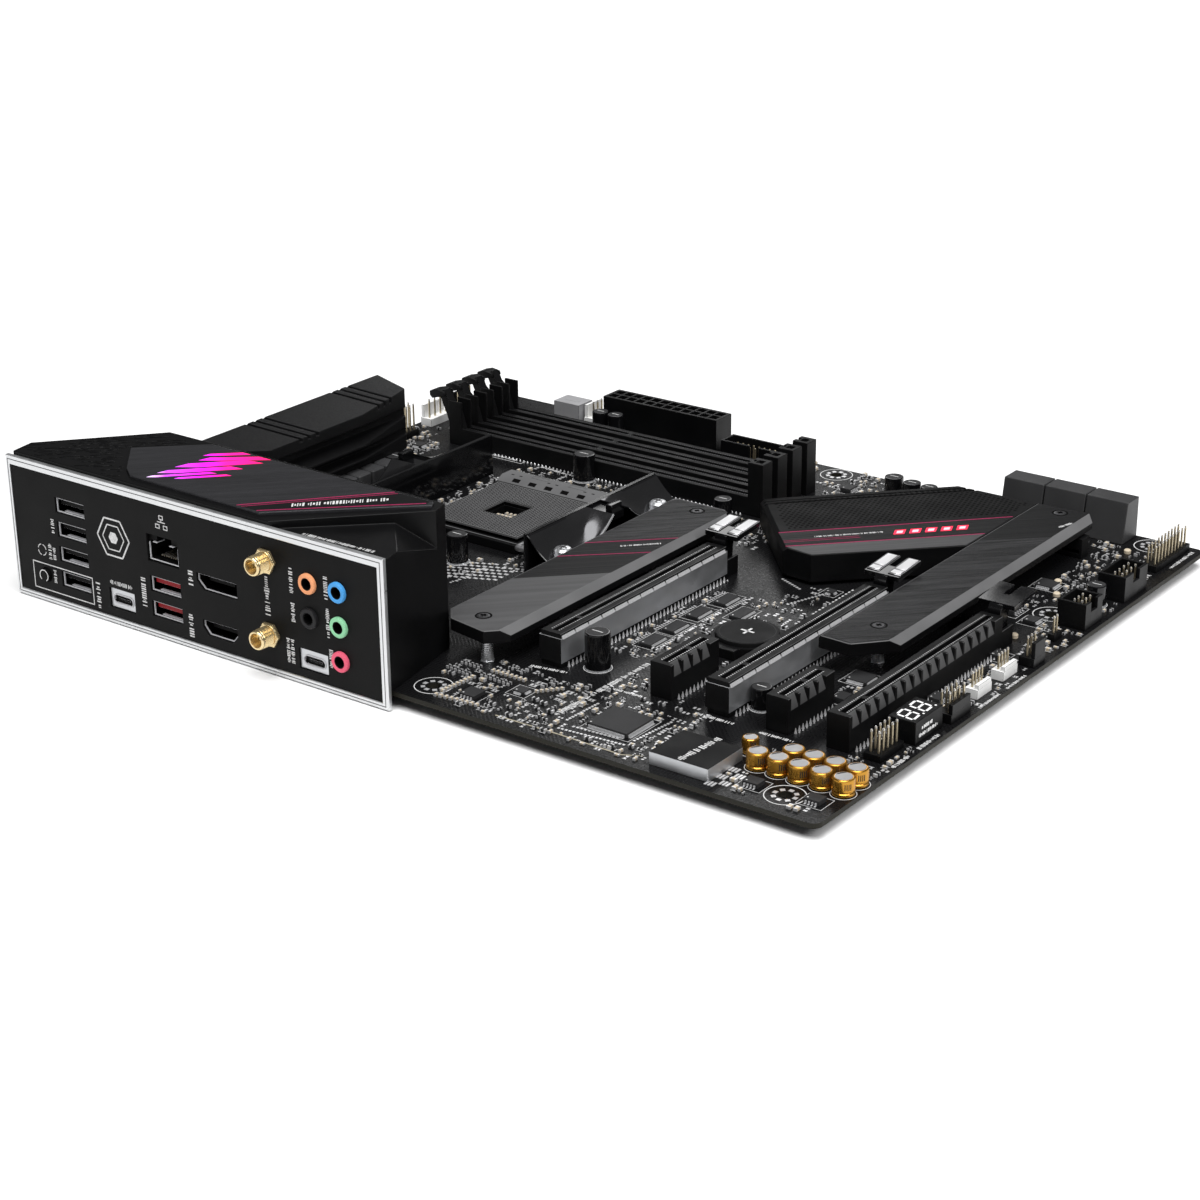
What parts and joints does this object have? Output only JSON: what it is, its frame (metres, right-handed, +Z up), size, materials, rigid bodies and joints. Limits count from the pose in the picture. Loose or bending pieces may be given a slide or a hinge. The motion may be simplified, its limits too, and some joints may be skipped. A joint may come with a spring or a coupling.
{
  "type": "motherboard",
  "caption": "Full-size desktop computer motherboard with a pin-grid processor socket, memory and expansion slots, finned heatsinks and a shrouded rear port block.",
  "frame": {"origin": "under the middle of the whole object's box, at its lowest point (the lower edge of the rear flange)", "axes": "+X from the board's top edge (processor end) to its slot edge, +Y from the rear port edge to the front edge, +Z up out of the component side"},
  "size_m": [0.3092, 0.2526, 0.0531],
  "materials": {
    "laminate": "black glass-fibre laminate with a satin solder mask",
    "black_plastic": "satin moulded black",
    "gloss_black": "high gloss black",
    "grey_plastic": "fine moulded grey",
    "black_aluminium": "brushed and black anodised",
    "bright_steel": "bright rolled",
    "dark_steel": "dark plated",
    "shield_steel": "polished rolled sheet",
    "gold_plate": "gold plated"
  },
  "bodies": {
    "root": {"circuit_board": "laminate", "socket_backplate": "dark_steel", "rear_port_plate": "black_plastic", "port_plate_rim": "bright_steel", "usb_stack": "dark_steel", "network_usb_stack": "dark_steel", "type_c_port": "bright_steel", "audio_type_c_port": "bright_steel", "display_port": "dark_steel", "tv_port": "dark_steel", "wireless_module": "shield_steel", "antenna_post_1": "gold_plate", "antenna_post_2": "gold_plate", "audio_jack_block": "black_plastic", "rear_port_cover": "black_plastic", "cover_inlay": "gloss_black", "vrm_heatsink_top": "black_aluminium", "vrm_heatsink_side": "black_aluminium", "m2_heatsink_upper": "black_aluminium", "m2_heatsink_lower": "black_aluminium", "m2_connector_upper": "black_plastic", "m2_connector_lower": "black_plastic", "m2_post_upper": "bright_steel", "m2_post_lower": "bright_steel", "chipset_heatsink": "black_aluminium", "socket_base": "black_plastic", "socket_cam_cover": "grey_plastic", "cooler_bracket_top": "black_plastic", "cooler_bracket_bottom": "black_plastic", "slot_shield_1": "shield_steel", "slot_shield_2": "shield_steel", "usb_header": "black_plastic", "main_power_connector": "black_plastic", "cpu_power_connector": "black_plastic", "audio_can": "dark_steel", "code_display": "black_plastic", "cell_holder": "black_plastic", "coin_cell": "dark_steel", "memory_slot_1": "black_plastic", "memory_slot_2": "black_plastic", "memory_slot_3": "black_plastic", "memory_slot_4": "black_plastic", "long_slot_1": "black_plastic", "sata_stack_1": "black_plastic", "long_slot_2": "black_plastic", "sata_stack_2": "black_plastic", "long_slot_3": "black_plastic", "sata_stack_3": "black_plastic", "short_slot_1": "black_plastic", "short_slot_2": "black_plastic"},
    "memory_latch_1": {"memory_latch_1": "black_plastic"},
    "memory_latch_2": {"memory_latch_2": "black_plastic"},
    "memory_latch_3": {"memory_latch_3": "black_plastic"},
    "memory_latch_4": {"memory_latch_4": "black_plastic"},
    "slot_latch_1": {"slot_latch_1": "bright_steel"},
    "slot_latch_2": {"slot_latch_2": "bright_steel"},
    "slot_latch_3": {"slot_latch_3": "black_plastic"},
    "socket_lever": {"socket_lever": "bright_steel"},
    "socket_slide_plate": {"socket_slide_plate": "grey_plastic"},
    "flash_button": {"flash_button": "black_plastic"}
  },
  "joints": [
    {"name": "memory_latch_1_hinge", "type": "hinge", "parent": "root", "child": "memory_latch_1", "pos_m": [-0.1217, 0.06948, 0.009], "axis": [0, 1, 0], "range_deg": [0, 22]},
    {"name": "memory_latch_2_hinge", "type": "hinge", "parent": "root", "child": "memory_latch_2", "pos_m": [-0.1217, 0.07898, 0.009], "axis": [0, 1, 0], "range_deg": [0, 22]},
    {"name": "memory_latch_3_hinge", "type": "hinge", "parent": "root", "child": "memory_latch_3", "pos_m": [-0.1217, 0.08848, 0.009], "axis": [0, 1, 0], "range_deg": [0, 22]},
    {"name": "memory_latch_4_hinge", "type": "hinge", "parent": "root", "child": "memory_latch_4", "pos_m": [-0.1217, 0.09798, 0.009], "axis": [0, 1, 0], "range_deg": [0, 22]},
    {"name": "slot_latch_1_hinge", "type": "hinge", "parent": "root", "child": "slot_latch_1", "pos_m": [0.0334, 0.01708, 0.0076], "axis": [-1, 0, 0], "range_deg": [0, 25]},
    {"name": "slot_latch_2_hinge", "type": "hinge", "parent": "root", "child": "slot_latch_2", "pos_m": [0.09436, 0.01708, 0.0076], "axis": [-1, 0, 0], "range_deg": [0, 25]},
    {"name": "slot_latch_3_hinge", "type": "hinge", "parent": "root", "child": "slot_latch_3", "pos_m": [0.135, 0.01708, 0.0076], "axis": [-1, 0, 0], "range_deg": [0, 25]},
    {"name": "socket_lever_hinge", "type": "hinge", "parent": "root", "child": "socket_lever", "pos_m": [-0.0541, 0.03868, 0.0086], "axis": [-1, 0, 0], "range_deg": [0, 90]},
    {"name": "socket_plate_slide", "type": "slide", "parent": "root", "child": "socket_slide_plate", "axis": [0, -1, 0], "range_m": [0, 0.001]},
    {"name": "flash_button_press", "type": "slide", "parent": "root", "child": "flash_button", "axis": [0, 1, 0], "range_m": [0, 0.001], "stiffness_N_per_m": 300}
  ],
  "couplings": [
    {"joint": "socket_plate_slide", "follows": "socket_lever_hinge", "m_per_rad": 0.0006366}
  ]
}
